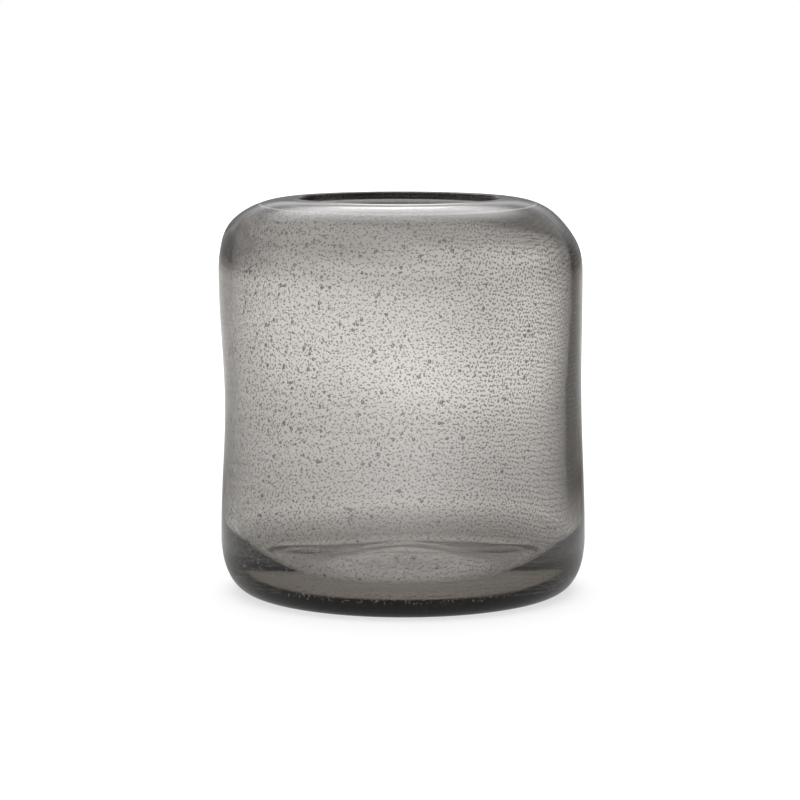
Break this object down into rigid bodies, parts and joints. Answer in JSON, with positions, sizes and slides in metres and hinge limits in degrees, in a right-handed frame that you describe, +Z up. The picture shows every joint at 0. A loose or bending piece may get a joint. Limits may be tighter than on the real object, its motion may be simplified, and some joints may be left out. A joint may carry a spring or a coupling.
{
  "type": "glass cylinder vase",
  "caption": "Squat mouth-blown cylinder vase of cased smoke-grey glass: air-bubble net sealed in the wall, rounded shoulder closing to a round mouth, domed floor.",
  "frame": {"origin": "centre of the base, on the plane of the ground foot ring", "axes": "+Z up along the vase's axis, towards the mouth; the vase is a body of revolution, so X and Y are free"},
  "size_m": [0.188, 0.188, 0.2],
  "materials": {
    "casing_glass": "fire-polished, clear smoke grey",
    "bubble_glass": "clear glass filled with a regular net of small air bubbles",
    "gather_glass": "fire-polished, clear smoke grey"
  },
  "bodies": {
    "root": {"outer_casing": "casing_glass", "bubble_layer": "bubble_glass", "inner_gather": "gather_glass"}
  },
  "joints": []
}
